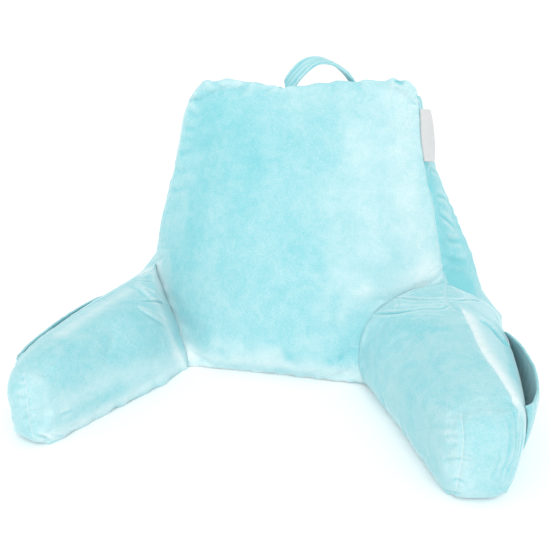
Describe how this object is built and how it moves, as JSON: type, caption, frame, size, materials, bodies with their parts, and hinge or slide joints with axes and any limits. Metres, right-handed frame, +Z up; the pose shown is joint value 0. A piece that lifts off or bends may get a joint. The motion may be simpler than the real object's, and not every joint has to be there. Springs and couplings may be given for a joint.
{
  "type": "reading pillow with arms",
  "caption": "Stuffed velour reading pillow: a wedge back with splayed arms, open side pockets, a top carrying handle and a bare ribbon label.",
  "frame": {"origin": "middle of the outline seen from above, on the surface that the pillow stands on", "axes": "+X to the right as seen from the front, +Y to the rear, +Z up; the front faces -Y"},
  "size_m": [0.7282, 0.544, 0.4799],
  "materials": {
    "back_velour": "aqua short-pile velour",
    "arm_left_velour": "aqua short-pile velour",
    "arm_right_velour": "aqua short-pile velour",
    "pocket_left_velour": "aqua short-pile velour",
    "pocket_right_velour": "aqua short-pile velour",
    "handle_velour": "aqua short-pile velour",
    "label_ribbon": "light grey woven ribbon, bare"
  },
  "bodies": {
    "root": {"back": "back_velour", "arm_left": "arm_left_velour", "arm_right": "arm_right_velour", "pocket_left": "pocket_left_velour", "pocket_right": "pocket_right_velour", "handle": "handle_velour", "label": "label_ribbon"}
  },
  "joints": []
}
